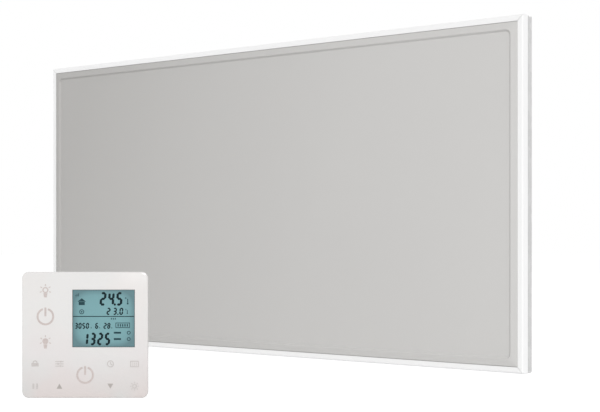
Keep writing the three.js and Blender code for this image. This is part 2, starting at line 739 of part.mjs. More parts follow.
function postPlaces() {
  const dx = BOX_WIDTH / 2 - POST_INSET;
  const dz = BOX_HEIGHT / 2 - POST_INSET;
  return [[-dx, -dz], [dx, -dz], [dx, dz], [-dx, dz]].map(([x, z]) => [x, boxMiddle + z]);
}

function terminalBox() {
  const outer = roundedRect(BOX_WIDTH, BOX_HEIGHT, BOX_CORNER_RADIUS, 0, boxMiddle);
  const inner = roundedRect(
    BOX_WIDTH - 2 * BOX_WALL, BOX_HEIGHT - 2 * BOX_WALL, BOX_CORNER_RADIUS - BOX_WALL, 0, boxMiddle);
  const shell = cut(sheet(outer, PANEL_DEPTH, boxRim), [sheet(inner, boxFloor, boxBack)]);
  const postEnd = boxRim - LID_LIP - SEAT_GAP;
  const posts = postPlaces().map(([x, z]) => rod(POST_RADIUS, x, z, boxFloor - 1, postEnd));
  const bores = postPlaces().map(([x, z]) => rod(POST_BORE, x, z, boxFloor, boxBack, 12));
  const leadHole = slab(leadHoleWidth, LEAD_HOLE_HEIGHT, 0, leadZ, 0, boxBack);
  const studHole = rod(STUD_NUT_RADIUS + SEAT_GAP, STUD_PLACE_X, leadZ, 0, boxBack);
  const stubHole = new THREE.CylinderGeometry(
    GLAND_STUB + SEAT_GAP, GLAND_STUB + SEAT_GAP, 4 * BOX_WALL, ROUND_SEGMENTS);
  stubHole.rotateX(Math.PI / 2).translate(0, glandY, BOX_BOTTOM);
  return cut(join([shell, ...posts]), [...bores, leadHole, studHole, stubHole]);
}

// The lid's edge is crowned, and its lip drops just inside the box's walls.
function terminalBoxLid() {
  const plate = loft([
    ring(BOX_WIDTH, BOX_HEIGHT, BOX_CORNER_RADIUS, boxRim, boxMiddle, ARC_STEPS),
    ring(BOX_WIDTH, BOX_HEIGHT, BOX_CORNER_RADIUS, boxBack - LID_CROWN, boxMiddle, ARC_STEPS),
    ring(BOX_WIDTH - 2 * LID_CROWN, BOX_HEIGHT - 2 * LID_CROWN, BOX_CORNER_RADIUS - LID_CROWN,
      boxBack, boxMiddle, ARC_STEPS),
  ]);
  const reach = 2 * (BOX_WALL + SEAT_GAP);
  const radius = BOX_CORNER_RADIUS - BOX_WALL;
  const lip = sheet(roundedRect(BOX_WIDTH - reach, BOX_HEIGHT - reach, radius, 0, boxMiddle),
    boxRim - LID_LIP, boxRim + BOX_LID / 2);
  const lipInside = sheet(roundedRect(BOX_WIDTH - reach - 2 * BOX_WALL, BOX_HEIGHT - reach - 2 * BOX_WALL,
    radius / 2, 0, boxMiddle), boxRim - LID_LIP - 1, boxRim);
  const pads = postPlaces().map(([x, z]) => rod(POST_RADIUS, x, z, boxRim - LID_LIP, boxRim + BOX_LID / 2));
  const holes = postPlaces().map(([x, z]) => rod(LID_HOLE, x, z, boxRim - LID_LIP - 1, boxBack + 1, 16));
  const notchTop = BOX_BOTTOM + BOX_WALL + GLAND_LOCKNUT_HEIGHT + GLAND_STUB_END + SEAT_GAP;
  const notchHalf = GLAND_LOCKNUT / Math.sqrt(3) + SEAT_GAP;
  const notch = block([-notchHalf, boxRim - LID_LIP - 1, BOX_BOTTOM], [notchHalf, boxRim, notchTop]);
  return cut(join([cut(join([plate, lip]), [lipInside]), ...pads]), [...holes, notch]);
}

// A pan head on a plain shank, driven from behind.
function lidScrew(x, z) {
  const seat = boxBack;
  const crown = SCREW_HEAD_HEIGHT * 0.6;
  return turnedY([
    [0, -SCREW_LENGTH], [SCREW_SHANK, -SCREW_LENGTH + 1], [SCREW_SHANK, 0], [SCREW_HEAD_RADIUS, 0],
    [SCREW_HEAD_RADIUS * 0.92, crown], [0, SCREW_HEAD_HEIGHT]], x, seat, z, 16);
}

// Screw wells open at the back, and wire channels run through from bottom to top.
function terminalBlock() {
  const body = slab(BLOCK_WIDTH, BLOCK_HEIGHT, 0, blockBottom + BLOCK_HEIGHT / 2, boxFloor,
    boxFloor + BLOCK_THICKNESS);
  const cuts = [];
  for (let i = 0; i < BLOCK_POLES; i += 1) {
    const x = (i - (BLOCK_POLES - 1) / 2) * BLOCK_PITCH;
    const channel = new THREE.CylinderGeometry(BLOCK_CHANNEL, BLOCK_CHANNEL, 2 * BLOCK_HEIGHT, 12);
    cuts.push(channel.rotateX(Math.PI / 2).translate(x, blockY, blockBottom + BLOCK_HEIGHT / 2));
    for (const dz of [-BLOCK_HEIGHT / 4, BLOCK_HEIGHT / 4]) {
      cuts.push(rod(BLOCK_WELL, x, blockBottom + BLOCK_HEIGHT / 2 + dz, blockY,
        boxFloor + BLOCK_THICKNESS + 1, 12));
    }
  }
  return cut(body, cuts);
}

function earthStud() {
  const stud = rod(STUD_RADIUS, STUD_PLACE_X, leadZ, PANEL_DEPTH, PANEL_DEPTH + STUD_LENGTH, 16);
  const nut = new THREE.CylinderGeometry(STUD_NUT_RADIUS, STUD_NUT_RADIUS, STUD_NUT_HEIGHT, 6);
  nut.translate(STUD_PLACE_X, PANEL_DEPTH + STUD_NUT_HEIGHT / 2, leadZ);
  return join([stud, nut]);
}

function addTerminalBox() {
  add(panel, 'terminal_box', terminalBox(), finishes.boxBlack);
  add(panel, 'terminal_box_lid', terminalBoxLid(), finishes.boxBlack);
  postPlaces().forEach(([x, z], i) => {
    add(panel, `lid_screw_${i + 1}`, lidScrew(x, z), finishes.steel);
  });
  add(panel, 'terminal_block', terminalBlock(), finishes.blockCream);
  add(panel, 'earth_stud', earthStud(), finishes.steel);
}

// ---- Cable gland --------------------------------------------------------------------------------------

const glandTop = BOX_BOTTOM;
const collarBottom = glandTop - GLAND_COLLAR_HEIGHT;
const nutTop = collarBottom - SEAT_GAP;
const locknutBottom = BOX_BOTTOM + BOX_WALL;

function glandBody() {
  const stubTop = locknutBottom + GLAND_LOCKNUT_HEIGHT + GLAND_STUB_END;
  const stubBottom = nutTop - GLAND_NUT_HEIGHT * 0.6;
  const collar = cut(hexagon(GLAND_COLLAR, collarBottom, glandTop, 0, glandY), []);
  const stub = turned([
    [GLAND_BORE, stubBottom], [GLAND_STUB, stubBottom], [GLAND_STUB, stubTop], [GLAND_BORE, stubTop],
    [GLAND_BORE, stubBottom]], 0, glandY, 0);
  const bore = new THREE.CylinderGeometry(GLAND_BORE, GLAND_BORE, 2 * GLAND_COLLAR_HEIGHT, ROUND_SEGMENTS);
  bore.rotateX(Math.PI / 2).translate(0, glandY, (collarBottom + glandTop) / 2);
  return join([cut(collar, [bore]), stub]);
}

// A domed nut over the lower stub, narrowing to the cable's mouth.
function glandNut() {
  const inner = GLAND_STUB + SEAT_GAP;
  const bottom = nutTop - GLAND_NUT_HEIGHT;
  const seat = nutTop - GLAND_NUT_HEIGHT * 0.6 - SEAT_GAP;
  return turned([
    [GLAND_BORE, bottom],
    [GLAND_MOUTH_RADIUS, bottom],
    [GLAND_NUT_RADIUS * 0.86, bottom + GLAND_NUT_HEIGHT * 0.16],
    [GLAND_NUT_RADIUS, bottom + GLAND_NUT_HEIGHT * 0.42],
    [GLAND_NUT_RADIUS, nutTop],
    [inner, nutTop],
    [inner, seat],
    [GLAND_BORE, seat],
    [GLAND_BORE, bottom],
  ], 0, glandY, 0);
}

function glandLocknut() {
  const nut = hexagon(GLAND_LOCKNUT, locknutBottom, locknutBottom + GLAND_LOCKNUT_HEIGHT, 0, glandY);
  const inner = GLAND_STUB + SEAT_GAP;
  const hole = new THREE.CylinderGeometry(inner, inner, 2 * GLAND_LOCKNUT_HEIGHT, ROUND_SEGMENTS);
  return cut(nut, [
    hole.rotateX(Math.PI / 2).translate(0, glandY, locknutBottom + GLAND_LOCKNUT_HEIGHT / 2)]);
}

function addGland() {
  add(panel, 'gland_body', glandBody(), finishes.boxBlack);
  add(panel, 'gland_nut', glandNut(), finishes.boxBlack);
  add(panel, 'gland_locknut', glandLocknut(), finishes.boxBlack);
}

// ---- Controller, front unit ---------------------------------------------------------------------------

// An outline of the controller: inset on every side, and also drawn in at the sides and the top. The bottom
// isn't drawn in, so that the unit stands.
function controllerRing(inset, drawn, y) {
  const width = CONTROLLER_SIZE - 2 * (inset + drawn);
  const height = CONTROLLER_SIZE - 2 * inset - drawn;
  const radius = Math.max(CONTROLLER_CORNER_RADIUS - inset, 0.5);
  return ring(width, height, radius, y, inset + height / 2, ARC_STEPS);
}

const shellRing = (inset, y) => controllerRing(inset, TOUCH_OVERHANG, y);

function touchPlate() {
  const rings = [];
  for (let i = 0; i <= SMALL_ARC_STEPS; i += 1) {
    const angle = i / SMALL_ARC_STEPS * Math.PI / 2;
    const inset = TOUCH_EDGE_RADIUS * (1 - Math.sin(angle));
    rings.push(controllerRing(inset, 0, TOUCH_EDGE_RADIUS * (1 - Math.cos(angle))));
  }
  rings.push(controllerRing(0, 0, TOUCH_PLATE));
  return cut(loft(rings), [slab(DISPLAY_WIDTH, DISPLAY_HEIGHT, displayX, displayZ, -1, TOUCH_PLATE + 1)]);
}

// Four posts on the face's inner side carry the main board.
function frontShell() {
  const body = loft([shellRing(0, shellFront), shellRing(0, shellBack)]);
  const pocket = loft([shellRing(SHELL_WALL, shellInner), shellRing(SHELL_WALL, shellBack + 1)]);
  const opening = slab(DISPLAY_WIDTH, DISPLAY_HEIGHT, displayX, displayZ, 0, shellInner + 1);
  const offset = CONTROLLER_SIZE / 2 - SHELL_WALL - BOARD_POST_INSET;
  const posts = [];
  for (const x of [-offset, offset]) {
    for (const z of [-offset, offset]) {
      const [front, back] = [shellInner - SHELL_FACE / 2, mainBoardFront - SEAT_GAP];
      posts.push(rod(BOARD_POST_RADIUS, x, controllerMiddle + z, front, back, 12));
    }
  }
  const shell = cut(body, [pocket]);
  return cut(join([shell, ...posts]), [opening]);
}

function displayModule() {
  const [width, height] = [DISPLAY_WIDTH + 2 * MODULE_MARGIN, DISPLAY_HEIGHT + 2 * MODULE_MARGIN];
  const body = slab(width, height, displayX, displayZ, moduleFront, moduleFront + MODULE_THICKNESS);
  const post = CONTROLLER_SIZE / 2 - SHELL_WALL - BOARD_POST_INSET;
  const relief = rod(BOARD_POST_RADIUS + SEAT_GAP, post, controllerMiddle + post, 0, mainBoardFront, 12);
  return cut(body, [relief]);
}

function pinHeader() {
  const width = PIN_COUNT * PIN_PITCH;
  const [front, back] = [mainBoardBack + SEAT_GAP, mainBoardBack + SEAT_GAP + HEADER_THICKNESS];
  const body = slab(width, HEADER_HEIGHT, HEADER_PLACE_X, HEADER_PLACE_Z, front, back);
  const pins = [];
  for (let i = 0; i < PIN_COUNT; i += 1) {
    const x = HEADER_PLACE_X + (i - (PIN_COUNT - 1) / 2) * PIN_PITCH;
    pins.push(slab(PIN_WIDTH, PIN_WIDTH, x, HEADER_PLACE_Z, back - 1, back + pinReach));
  }
  return join([body, ...pins]);
}

// The socket stands on the power board, and the header's pins slide into it.
const headerBack = mainBoardBack + SEAT_GAP + HEADER_THICKNESS;
const socketFront = Math.max(componentBack - SOCKET_THICKNESS, headerBack + SEAT_GAP);
const pinReach = Math.min(PIN_REACH, componentBack - headerBack - SEAT_GAP);

function pinSocket() {
  const width = PIN_COUNT * PIN_PITCH;
  const body = slab(width, HEADER_HEIGHT, HEADER_PLACE_X, HEADER_PLACE_Z, socketFront, componentBack);
  const holes = [];
  for (let i = 0; i < PIN_COUNT; i += 1) {
    const x = HEADER_PLACE_X + (i - (PIN_COUNT - 1) / 2) * PIN_PITCH;
    const size = PIN_WIDTH + 2 * SEAT_GAP;
    holes.push(slab(size, size, x, HEADER_PLACE_Z, socketFront - 1, componentBack + 1));
  }
  return cut(body, holes);
}

// ---- Controller, housing ------------------------------------------------------------------------------

// The housing goes on from the shell and draws in further towards the wall.
function housingRing(inset, y) {
  const share = (y - housingFront) / (CONTROLLER_DEPTH - housingFront);
  return controllerRing(inset, TOUCH_OVERHANG + HOUSING_DRAFT * share, y);
}

function controllerHousing() {
  const body = loft([housingRing(0, housingFront), housingRing(0, CONTROLLER_DEPTH)]);
  const pocket = loft([
    housingRing(HOUSING_WALL, housingFront + SPIGOT_LEDGE), housingRing(HOUSING_WALL, housingInner)]);
  const spigotOuter = SHELL_WALL + SEAT_GAP;
  const spigotInner = spigotOuter + SPIGOT_WALL;
  const spigotFront = housingFront - SPIGOT_DEPTH;
  const spigot = loft([shellRing(spigotOuter, spigotFront), shellRing(spigotOuter, housingFront + 1)]);
  const mouth = loft([
    shellRing(spigotInner, spigotFront - 1), shellRing(spigotInner, housingFront + SPIGOT_LEDGE + 1)]);
  const posts = powerBoardPosts().map(([x, z]) => rod(
    BOARD_POST_RADIUS, x, z, powerBoardBack + SEAT_GAP, housingInner + 1, 12));
  const shell = join([cut(join([cut(body, [pocket]), spigot]), [mouth]), ...posts]);
  const entry = slab(WIRE_ENTRY_WIDTH, WIRE_ENTRY_HEIGHT, 0, WIRE_ENTRY_LIFT + WIRE_ENTRY_HEIGHT / 2,
    housingInner - 1, CONTROLLER_DEPTH + 1);
  const fixings = [-FIXING_SPACING / 2, FIXING_SPACING / 2].map((x) => rod(
    FIXING_RADIUS, x, POWER_BOARD_LIFT / 2, housingInner - 1, CONTROLLER_DEPTH + 1, 16));
  return cut(shell, [entry, ...fixings]);
}

function powerBoardPosts() {
  const dx = POWER_BOARD_WIDTH / 2 - BOARD_POST_RADIUS - 1;
  const [low, high] = [BOARD_POST_RADIUS + 1, POWER_BOARD_HEIGHT - BOARD_POST_RADIUS - 1];
  return [[-dx, low], [dx, low], [dx, high], [-dx, high]].map(([x, z]) => [x, POWER_BOARD_LIFT + z]);
}

function onPowerBoard([width, height, length], [x, z]) {
  return sheet(roundedRect(width, length, 0.6, x, z), componentBack - height, componentBack, 2);
}

function terminalStrip() {
  const body = onPowerBoard(STRIP_SIZE, [0, STRIP_PLACE_Z]);
  const pitch = STRIP_SIZE[0] / STRIP_POLES;
  const wells = [];
  for (let i = 0; i < STRIP_POLES; i += 1) {
    const x = (i - (STRIP_POLES - 1) / 2) * pitch;
    const front = componentBack - STRIP_SIZE[1];
    wells.push(rod(pitch * 0.28, x, STRIP_PLACE_Z, front - 1, front + STRIP_SIZE[1] / 2, 12));
  }
  return cut(body, wells);
}

function addController() {
  const unit = new THREE.Group();
  unit.position.set(CONTROLLER_X, -CONTROLLER_AHEAD, 0);
  unit.rotation.z = CONTROLLER_TURN * Math.PI / 180;
  panel.add(unit);
  const windowSize = [DISPLAY_WIDTH - 2 * SEAT_GAP, DISPLAY_HEIGHT - 2 * SEAT_GAP];
  const pane = slab(...windowSize, displayX, displayZ, WINDOW_RECESS, WINDOW_RECESS + WINDOW_THICKNESS);
  const mainBoard = sheet(roundedRect(MAIN_BOARD, MAIN_BOARD, 2, 0, controllerMiddle),
    mainBoardFront, mainBoardBack, 2);
  const powerBoard = sheet(
    roundedRect(POWER_BOARD_WIDTH, POWER_BOARD_HEIGHT, 2, 0, POWER_BOARD_LIFT + POWER_BOARD_HEIGHT / 2),
    powerBoardFront, powerBoardBack, 2);
  add(unit, 'controller_touch_plate', touchPlate(), finishes.controllerWhite);
  add(unit, 'controller_display_window', pane, finishes.display);
  add(unit, 'controller_display_module', displayModule(), finishes.blockCream);
  add(unit, 'controller_front_shell', frontShell(), finishes.housingWhite);
  add(unit, 'controller_main_board', mainBoard, finishes.board);
  add(unit, 'controller_pin_header', pinHeader(), finishes.boxBlack);
  add(unit, 'controller_pin_socket', pinSocket(), finishes.boxBlack);
  add(unit, 'controller_housing', controllerHousing(), finishes.housingWhite);
  add(unit, 'controller_power_board', powerBoard, finishes.board);
  add(unit, 'controller_relay', onPowerBoard(RELAY_SIZE, RELAY_PLACE), finishes.component);
  add(unit, 'controller_capacitor', onPowerBoard(CAPACITOR_SIZE, CAPACITOR_PLACE), finishes.blockCream);
  add(unit, 'controller_terminal_strip', terminalStrip(), finishes.component);
}

// ---- Assembly -----------------------------------------------------------------------------------------

addFrame();
addCornerKeys();
addHeatingFilm();
add(panel, 'insulation_board', insulationBoard(), finishes.insulation);
add(panel, 'thermal_cutout', thermalCutout(), finishes.blockCream);
addLeads();
add(panel, 'back_tray', backTray(), finishes.galvanised);
addHangers();
addTerminalBox();
addGland();
addController();

export default group;
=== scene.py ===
"""Looks of a framed infrared panel heater and its touch controller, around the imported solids.

Metres throughout, in the solids' own frame: +X right, -Y towards the viewer, +Z up. What is printed on the
controller's face is placed and sized in millimetres.
"""

import json
import math

import bmesh
import bpy
from mathutils import Matrix, Vector


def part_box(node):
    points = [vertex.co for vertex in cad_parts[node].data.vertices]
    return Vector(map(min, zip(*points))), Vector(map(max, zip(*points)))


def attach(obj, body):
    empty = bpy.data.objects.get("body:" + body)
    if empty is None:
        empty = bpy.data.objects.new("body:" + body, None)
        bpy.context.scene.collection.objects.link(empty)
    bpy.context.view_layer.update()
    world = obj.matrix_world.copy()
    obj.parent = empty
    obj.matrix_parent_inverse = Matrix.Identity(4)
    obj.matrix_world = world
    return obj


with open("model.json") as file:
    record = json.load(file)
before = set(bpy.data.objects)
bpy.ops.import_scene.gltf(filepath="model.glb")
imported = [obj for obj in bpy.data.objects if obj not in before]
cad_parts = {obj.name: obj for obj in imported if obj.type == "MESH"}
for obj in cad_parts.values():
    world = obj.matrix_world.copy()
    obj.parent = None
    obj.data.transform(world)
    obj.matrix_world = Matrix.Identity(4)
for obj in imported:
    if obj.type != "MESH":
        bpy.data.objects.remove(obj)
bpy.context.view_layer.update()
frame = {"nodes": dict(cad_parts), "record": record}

MM = 0.001
UP = Vector((0, 0, 1))
WHITE = (1, 1, 1, 1)
NODES = frame["nodes"]
HEATER = "heater"
FRONT_UNIT = "controller_front"

# ---- Camera ------------------------------------------------------------------------------------------

IMAGE_WIDTH_PX = 600
CAMERA_PLACE = Vector((0.9176, -1.0085, 0.1131))
CAMERA_YAW = math.radians(40.58)  # between the panel's normal and the line of sight
CAMERA_LENS_MM = 85.44
CAMERA_SENSOR_MM = 36
CAMERA_SHIFT_PX = 29.9  # horizon below the picture's middle


def add_camera():
    data = bpy.data.cameras.new("camera")
    data.lens = CAMERA_LENS_MM
    data.sensor_width = CAMERA_SENSOR_MM
    data.shift_y = CAMERA_SHIFT_PX / IMAGE_WIDTH_PX
    camera = bpy.data.objects.new("camera", data)
    camera.location = CAMERA_PLACE
    camera.rotation_euler = (math.pi / 2, 0, CAMERA_YAW)
    bpy.context.scene.collection.objects.link(camera)
    bpy.context.scene.camera = camera


# ---- Node helpers ------------------------------------------------------------------------------------


def add_node(tree, kind, inputs=None, **settings):
    """A node with its settings. Each input is linked if it is another node's output, and set if not."""
    made = tree.nodes.new(kind)
    for key, value in settings.items():
        setattr(made, key, value)
    for key, value in (inputs or {}).items():
        if hasattr(value, "is_output"):
            tree.links.new(value, made.inputs[key])
        else:
            made.inputs[key].default_value = value
    return made


def seen_or_mirrored(tree):
    """1 for rays from the camera, off gloss or through glass, and 0 for all others."""
    path = add_node(tree, "ShaderNodeLightPath").outputs
    seen = path["Is Camera Ray"]
    for kind in ("Is Glossy Ray", "Is Transmission Ray"):
        either = add_node(tree, "ShaderNodeMath", {0: seen, 1: path[kind]}, operation="MAXIMUM")
        seen = either.outputs["Value"]
    return seen


class Shader:
    """A node material with one Principled shader, and short calls for the nodes that feed it."""

    def __init__(self, name, colour=(0.8, 0.8, 0.8), roughness=0.5, **settings):
        self.material = bpy.data.materials.new(name)
        self.material.use_nodes = True
        self.tree = self.material.node_tree
        self.shader = self.tree.nodes["Principled BSDF"]
        self.colour = colour
        self.set("Base Color", (*colour, 1))
        self.set("Roughness", roughness)
        for key, value in settings.items():
            self.set(key.replace("_", " "), value)
        self.place = self.node("ShaderNodeTexCoord").outputs["Object"]

    def set(self, socket, value):
        self.shader.inputs[socket].default_value = value

    def link(self, output, socket):
        self.tree.links.new(output, self.shader.inputs[socket])

    def node(self, kind, inputs=None, **settings):
        return add_node(self.tree, kind, inputs, **settings)

    def math(self, operation, *values):
        made = self.node("ShaderNodeMath", dict(enumerate(values)), operation=operation)
        return made.outputs["Value"]

    def vector_math(self, operation, output, *values):
        made = self.node("ShaderNodeVectorMath", dict(enumerate(values)), operation=operation)
        return made.outputs[output]

    def axes(self):
        return self.node("ShaderNodeSeparateXYZ", {"Vector": self.place}).outputs

    def stretched(self, scale):
        return self.node("ShaderNodeMapping", {"Vector": self.place, "Scale": scale}).outputs["Vector"]

    def noise(self, scale, detail=3, roughness=0.55, vector=None):
        return self.node("ShaderNodeTexNoise", {
            "Vector": vector or self.place, "Scale": scale, "Detail": detail, "Roughness": roughness,
        }).outputs["Fac"]

    def ramp(self, value, stops):
        made = self.node("ShaderNodeValToRGB", {"Fac": value})
        elements = made.color_ramp.elements
        elements[0].position, elements[0].color = stops[0][0], (*stops[0][1], 1)
        elements[1].position, elements[1].color = stops[-1][0], (*stops[-1][1], 1)
        for position, colour in stops[1:-1]:
            elements.new(position).color = (*colour, 1)
        return made.outputs["Color"]

    def spread(self, value, low, high, start=0.0, end=1.0):
        """The value, carried over from the range start to end to the range low to high."""
        return self.node("ShaderNodeMapRange", {
            "Value": value, "From Min": start, "From Max": end, "To Min": low, "To Max": high,
        }).outputs["Result"]

    def bump(self, height, strength, distance, normal=None):
        inputs = {"Height": height, "Strength": strength, "Distance": distance}
        if normal:
            inputs["Normal"] = normal
        return self.node("ShaderNodeBump", inputs).outputs["Normal"]

    def tone(self, value, share):
        """The material's colour, made a little darker and lighter by value."""
        dark = tuple(c * (1 - share) for c in self.colour)
        light = tuple(min(c * (1 + share), 1) for c in self.colour)
        self.link(self.ramp(value, [(0.3, dark), (0.7, light)]), "Base Color")

    def grain(self, scale, low, high):
        """Roughness in patches, from low to high."""
        self.link(self.spread(self.noise(scale), low, high), "Roughness")

    def relief(self, scale, strength, distance, detail=2):
        self.link(self.bump(self.noise(scale, detail), strength, distance), "Normal")


# ---- Materials ---------------------------------------------------------------------------------------


def powder_coat():
    """White powder coat: a fine orange peel and a hint of unevenness."""
    s = Shader("frame_white", (0.9, 0.9, 0.9), 0.42, Specular_IOR_Level=0.25)
    s.tone(s.noise(6, 4), 0.01)
    s.grain(60, 0.32, 0.44)
    s.relief(900, 0.25, 0.00005)
    return s.material


# Red of the enamel's warm grey with painted shade, deepest at its left end, by share of the plate's width
# from its left end.
ENAMEL_PAINTED_SHADE_REDS = ((0.0, 0.45), (0.35, 0.526), (0.65, 0.576), (1.0, 0.606))
ENAMEL_LESS_GREEN = 0.008
ENAMEL_LESS_BLUE = 0.02
ENAMEL_PAINTED_SHADE_RISE = 0.1  # painted shade at the plate's top: how far its top reads as if it lay further left, as a share of its width
ENAMEL_CLOUDS = 0.03


def baked_enamel(low, high):
    """The plate's warm grey enamel, smooth and satin.

    A real plate has one tone. This one is much deeper at its left end, and a little at its top. That
    stands in for a fall-off of light that the lamps don't give, so it shows from every side.
    """
    s = Shader("plate_grey", roughness=0.5, Specular_IOR_Level=0.35)
    axes = s.axes()
    # Painted shade: the ramp below runs deeper towards the plate's left end, and a little towards its top.
    across = s.spread(axes["X"], 0, 1, low.x, high.x)
    down = s.spread(axes["Z"], ENAMEL_PAINTED_SHADE_RISE, -ENAMEL_PAINTED_SHADE_RISE, low.z, high.z)
    clouds = s.spread(s.noise(3.5), -ENAMEL_CLOUDS, ENAMEL_CLOUDS)
    share = s.math("ADD", s.math("ADD", across, down), clouds)
    painted_shade_greys = [(place, (red, red - ENAMEL_LESS_GREEN, red - ENAMEL_LESS_BLUE)) for place, red in ENAMEL_PAINTED_SHADE_REDS]
    s.link(s.ramp(share, painted_shade_greys), "Base Color")
    s.grain(45, 0.46, 0.54)
    fine = s.bump(s.noise(1400, 2), 0.12, 0.00004)
    s.link(s.bump(s.noise(9, 1), 0.08, 0.0008, fine), "Normal")
    return s.material


def galvanised():
    """Zinc with its spangle, each crystal a slightly different grey."""
    s = Shader("galvanised", (0.6, 0.6, 0.6), 0.45, Metallic=0.4)
    crystals = s.node("ShaderNodeTexVoronoi", {"Vector": s.place, "Scale": 170}).outputs["Color"]
    grey = s.node("ShaderNodeRGBToBW", {"Color": crystals}).outputs["Val"]
    s.link(s.ramp(grey, [(place, (g, g, g)) for place, g in ((0.2, 0.575), (0.55, 0.6), (0.85, 0.63))]),
           "Base Color")
    s.link(s.spread(grey, 0.42, 0.5), "Roughness")
    s.relief(500, 0.12, 0.00004)
    return s.material


def zinc_plate():
    """Plated and folded sheet, drawn finely along X."""
    s = Shader("steel", (0.56, 0.57, 0.58), 0.34, Metallic=0.9)
    lines = s.noise(1, 4, vector=s.stretched((60, 900, 900)))
    s.tone(lines, 0.08)
    s.grain(90, 0.28, 0.42)
    s.link(s.bump(lines, 0.15, 0.00003), "Normal")
    return s.material


def moulded_black():
    """Spark-eroded black plastic."""
    s = Shader("box_black", (0.022, 0.022, 0.024), 0.5)
    s.tone(s.noise(25, 4), 0.25)
    s.grain(300, 0.42, 0.6)
    s.relief(2200, 0.35, 0.00005)
    return s.material


# Painted shade: both sets of colours below deepen from the plate's top towards its foot.
GLOSS_PAINTED_SHADE_HEIGHTS = (0.02, 0.35, 0.7)  # shares of the touch plate's height, for the colours below
GLOSS_PALE = ((0.624, 0.619, 0.609), (0.707, 0.697, 0.687), (0.726, 0.717, 0.707))
GLOSS_PINK = ((0.653, 0.6, 0.585), (0.717, 0.682, 0.678), (0.736, 0.712, 0.697))


def gloss_white(height):
    """The touch plate's back-printed acrylic: glossy, with faint warm clouds.

    Its deeper foot stands in for shade, as the enamel's left end does.
    """
    s = Shader("controller_gloss", roughness=0.1, Coat_Weight=0.5, Coat_Roughness=0.05)
    # Painted shade: the ramps by height make the plate deeper towards its foot.
    rise = s.spread(s.axes()["Z"], 0, 1, 0, height)
    pale, pink = (s.ramp(rise, list(zip(GLOSS_PAINTED_SHADE_HEIGHTS, tones))) for tones in (GLOSS_PALE, GLOSS_PINK))
    clouds = s.spread(s.noise(24, 2, 0.5), 0, 1, 0.4, 0.6)
    mixed = s.node("ShaderNodeMix", {"Factor": clouds, "A": pale, "B": pink}, data_type="RGBA")
    s.link(mixed.outputs["Result"], "Base Color")
    s.grain(130, 0.07, 0.14)
    s.relief(40, 0.05, 0.0003, detail=1)
    return s.material


def satin_white():
    """The controller's moulded shell and housing."""
    s = Shader("controller_shell", (0.84, 0.83, 0.82), 0.36)
    s.tone(s.noise(18), 0.015)
    s.grain(200, 0.3, 0.42)
    s.relief(1800, 0.2, 0.00004)
    return s.material


# Teal from the display's middle to its edges, deepening outwards as painted shade.
TEAL_EDGE_SHADE_STOPS = [(0.0, (0.143, 0.304, 0.327)), (0.45, (0.129, 0.276, 0.299)), (1.0, (0.078, 0.17, 0.189))]
TEAL_EDGE_SHADE_POWER = 4.0  # painted shade: the higher, the closer to its edge the painted shade deepens the display
TEAL_CLOUDS = 0.06


def display_teal(centre, right, half_width, half_height):
    """A lit display under glass: teal, paler at the middle, with painted shade deepening it close to its
    edges.
    """
    s = Shader("display_teal", roughness=0.16, Coat_Weight=0.3, Coat_Roughness=0.05, Emission_Strength=0.12)
    away = s.vector_math("SUBTRACT", "Vector", s.place, centre)
    edge_shade_shares = []
    for direction in (right / half_width, UP / half_height):
        along = s.vector_math("DOT_PRODUCT", "Value", away, direction)
        edge_shade_shares.append(s.math("POWER", s.math("ABSOLUTE", along), TEAL_EDGE_SHADE_POWER))
    clouds = s.spread(s.noise(60, 1), -TEAL_CLOUDS, TEAL_CLOUDS)
    colour = s.ramp(s.math("ADD", s.math("ADD", *edge_shade_shares), clouds), TEAL_EDGE_SHADE_STOPS)
    s.link(colour, "Base Color")
    s.link(colour, "Emission Color")
    s.grain(400, 0.12, 0.2)
    return s.material


def fibre_board():
    """Pressed mineral fibre."""
    s = Shader("insulation", (0.62, 0.58, 0.48), 0.95)
    fibres = s.noise(1, 5, vector=s.stretched((200, 900, 900)))
    s.tone(fibres, 0.2)
    s.link(s.bump(fibres, 0.6, 0.0003), "Normal")
    return s.material


def printed_ink(name, colour, roughness=0.45):
    """A thin print with next to no gloss of its own."""
    s = Shader(name, colour, roughness, Specular_IOR_Level=0.1)
    s.tone(s.noise(900, 2), 0.06)
    return s.material


MOTTLE_SCALE = 150
MOTTLE_SHARE = 0.08

# Hidden and small pieces: colour, roughness and how metallic.
MOULDINGS = {
    "film_black": ((0.03, 0.03, 0.03), 0.6, 0.0),
    "copper": ((0.6, 0.3, 0.16), 0.32, 0.9),
    "ceramic_white": ((0.78, 0.74, 0.64), 0.55, 0.0),
    "lead_red": ((0.4, 0.05, 0.04), 0.5, 0.0),
    "board_green": ((0.03, 0.16, 0.07), 0.4, 0.0),
    "component_blue": ((0.03, 0.08, 0.28), 0.4, 0.0),
}


def plain_moulding(name, colour, roughness, metallic):
    """A mottled moulding, board or metal."""
    s = Shader(name, colour, roughness, Metallic=metallic)
    s.tone(s.noise(MOTTLE_SCALE, 4), MOTTLE_SHARE)
    s.grain(MOTTLE_SCALE * 3, roughness * 0.85, roughness * 1.15)
    s.relief(MOTTLE_SCALE * 9, 0.2, 0.00005)
    return s.material


# ---- Mesh helpers ------------------------------------------------------------------------------------


def new_piece(name, mesh_data, material, body):
    """A piece of the scene that moves with a body."""
    mesh_data.materials.append(material)
    piece = bpy.data.objects.new(name, mesh_data)
    bpy.context.scene.collection.objects.link(piece)
    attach(piece, body)
    return piece


def mesh_from(mesh, name):
    """The edited mesh as mesh data of that name. The edited mesh is freed."""
    data = bpy.data.meshes.new(name)
    mesh.to_mesh(data)
    mesh.free()
    return data


def on_clock(radius, degrees):
    """Offset of a point on a circle, clockwise from the top, with y downwards."""
    angle = math.radians(degrees)
    return radius * math.sin(angle), -radius * math.cos(angle)


